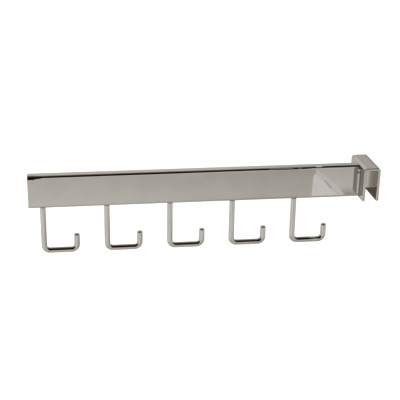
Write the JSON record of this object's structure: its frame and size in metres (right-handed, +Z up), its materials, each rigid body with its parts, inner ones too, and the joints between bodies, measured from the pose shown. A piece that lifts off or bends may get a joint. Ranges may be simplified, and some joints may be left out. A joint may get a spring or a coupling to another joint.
{
  "type": "retail faceout bracket",
  "caption": "Straight chrome arm of rectangular tube with a folded saddle that drops over a flat hang rail, and a row of upturned wire hooks beneath it for hanging goods.",
  "frame": {"origin": "middle of the rail seat, on the underside of the saddle's top plate", "axes": "+Z up; the rail runs along Y; the arm runs from the saddle along -X to its free end"},
  "size_m": [0.3952, 0.0508, 0.0976],
  "materials": {
    "chrome_plate": "polished chrome plate on steel",
    "plated_weld": "chrome plate over an undressed weld bead"
  },
  "bodies": {
    "root": {"arm_tube": "chrome_plate", "end_plate": "chrome_plate", "saddle": "chrome_plate", "saddle_weld_front": "plated_weld", "saddle_weld_back": "plated_weld", "hook_1": "chrome_plate", "hook_2": "chrome_plate", "hook_3": "chrome_plate", "hook_4": "chrome_plate", "hook_5": "chrome_plate", "hook_weld_1": "plated_weld", "hook_weld_2": "plated_weld", "hook_weld_3": "plated_weld", "hook_weld_4": "plated_weld", "hook_weld_5": "plated_weld"}
  },
  "joints": []
}
